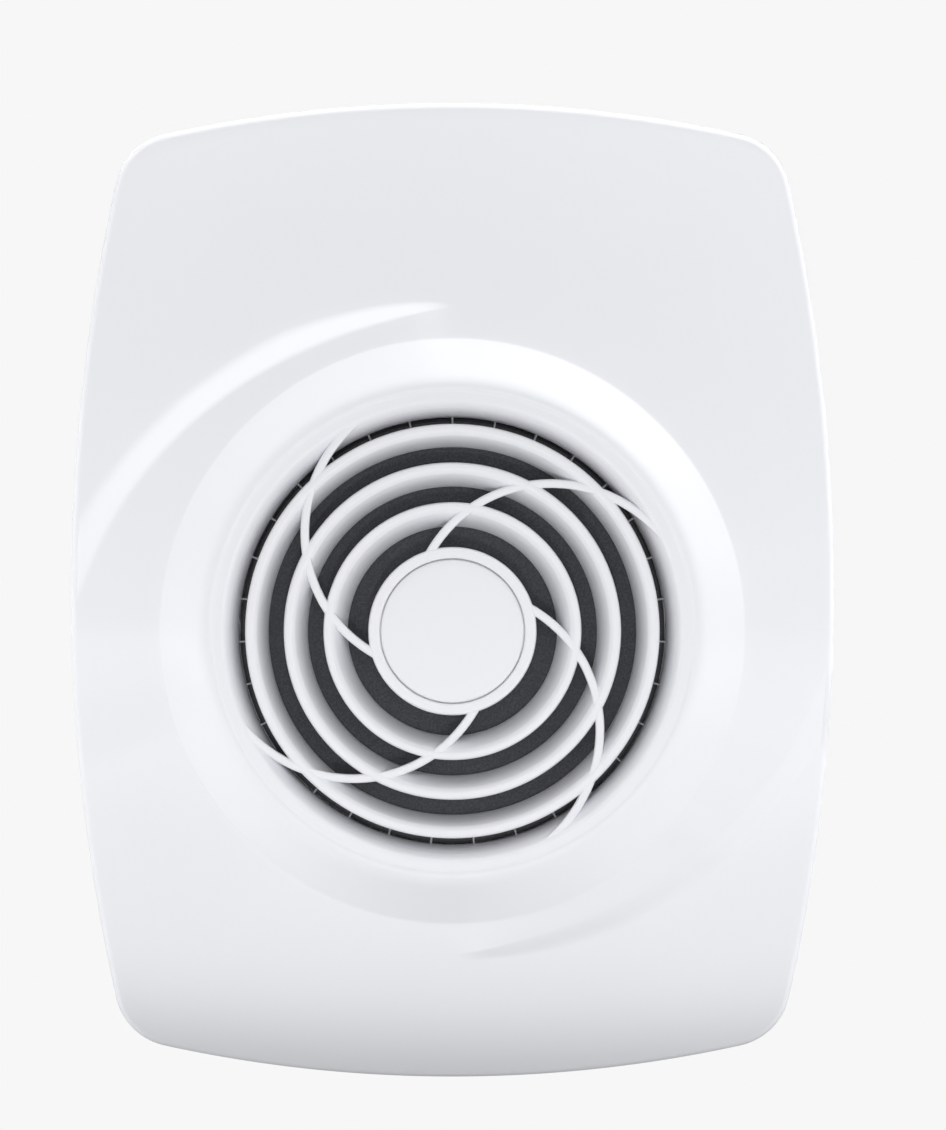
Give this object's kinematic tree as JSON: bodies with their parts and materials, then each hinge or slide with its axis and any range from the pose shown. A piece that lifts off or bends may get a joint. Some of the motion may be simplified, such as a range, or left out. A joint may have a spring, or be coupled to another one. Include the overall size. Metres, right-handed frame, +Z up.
{
  "type": "heat recovery unit",
  "caption": "Through-wall heat recovery ventilator: bowed white room cover with a round swirl grille, two small fans, wall sleeve, counterflow exchanger and outdoor louvre.",
  "frame": {"origin": "on the wall's room face, at the axis of the duct and of the round grille", "axes": "+X to the right seen from the room, +Y into the wall, +Z up"},
  "size_m": [0.2348, 0.3705, 0.3],
  "materials": {
    "white_gloss": "glossy white ABS",
    "white_satin": "satin white ABS",
    "filter_foam": "open-cell dark grey filter foam",
    "dark_plastic": "black glass-filled nylon",
    "foam": "closed-cell polyethylene foam",
    "rubber": "black rubber",
    "pvc": "extruded light grey PVC",
    "plates": "thin vacuum-formed polystyrene",
    "outdoor_white": "UV-stable white plastic",
    "mesh_steel": "woven stainless mesh",
    "steel": "plated steel",
    "magnet": "bonded ferrite",
    "core": "laminated steel",
    "copper": "enamelled copper wire",
    "lead_grey": "grey lead insulation",
    "grey_plastic": "light grey moulded plastic",
    "board": "green solder-masked laminate",
    "terminal_green": "green terminal plastic",
    "black_chip": "moulded epoxy",
    "blue_plastic": "blue moulded plastic",
    "can": "sleeved aluminium can",
    "sensor_white": "white sensor housing"
  },
  "bodies": {
    "unit": {"chassis_plate": "white_satin", "room_spigot": "white_satin", "wall_gasket": "foam", "cover_grommets": "rubber", "wall_sleeve": "pvc", "room_divider": "foam", "exchanger_shell": "pvc", "exchanger_plates": "plates", "exchanger_edge_strips": "plates", "exchanger_foam_collars": "foam", "outdoor_divider": "pvc", "outdoor_grille": "outdoor_white", "outdoor_spigot": "outdoor_white", "insect_mesh": "mesh_steel", "extract_fan_housing": "dark_plastic", "extract_bearings": "steel", "extract_stator": "core", "extract_windings": "copper", "extract_fan_screws": "steel", "extract_lead": "lead_grey", "supply_duct": "grey_plastic", "supply_scroll": "dark_plastic", "supply_scroll_cover": "dark_plastic", "supply_bearings": "steel", "supply_stator": "core", "supply_windings": "copper", "supply_blower_screws": "steel", "supply_lead": "lead_grey", "electronics_box": "grey_plastic", "electronics_lid": "grey_plastic", "lid_screws": "steel", "circuit_board": "board", "terminal_block": "terminal_green", "terminal_screws": "steel", "power_module": "black_chip", "relay": "blue_plastic", "capacitors": "can", "control_chip": "black_chip", "humidity_sensor": "sensor_white", "trimmer_bases": "blue_plastic", "cable_grommet": "rubber", "cable_clamp": "grey_plastic", "clamp_screws": "steel"},
    "cover": {"front_cover": "white_gloss", "swirl_grille": "white_satin", "badge_disc": "white_satin", "extract_filter": "filter_foam", "filter_frame": "dark_plastic"},
    "extract_rotor": {"extract_impeller": "dark_plastic", "extract_rotor_cup": "steel", "extract_magnet_ring": "magnet", "extract_shaft": "steel"},
    "supply_rotor": {"supply_impeller": "dark_plastic", "supply_rotor_cup": "steel", "supply_magnet_ring": "magnet", "supply_shaft": "steel"},
    "timer_trimmer": {"timer_knob": "white_satin"},
    "humidity_trimmer": {"humidity_knob": "white_satin"}
  },
  "joints": [
    {"name": "cover_pull_off", "type": "slide", "parent": "unit", "child": "cover", "axis": [0, -1, 0], "range_m": [0, 0.07]},
    {"name": "extract_fan_spin", "type": "hinge", "parent": "unit", "child": "extract_rotor", "pos_m": [0, -0.012, 0], "axis": [0, -1, 0], "continuous": true},
    {"name": "supply_fan_spin", "type": "hinge", "parent": "unit", "child": "supply_rotor", "pos_m": [-0.042, -0.02, 0.108], "axis": [0, -1, 0], "continuous": true},
    {"name": "timer_trimmer_turn", "type": "hinge", "parent": "unit", "child": "timer_trimmer", "pos_m": [0.062, -0.018, 0.092], "axis": [0, -1, 0], "range_deg": [-135, 135]},
    {"name": "humidity_trimmer_turn", "type": "hinge", "parent": "unit", "child": "humidity_trimmer", "pos_m": [0.072, -0.018, 0.092], "axis": [0, -1, 0], "range_deg": [-135, 135]}
  ]
}
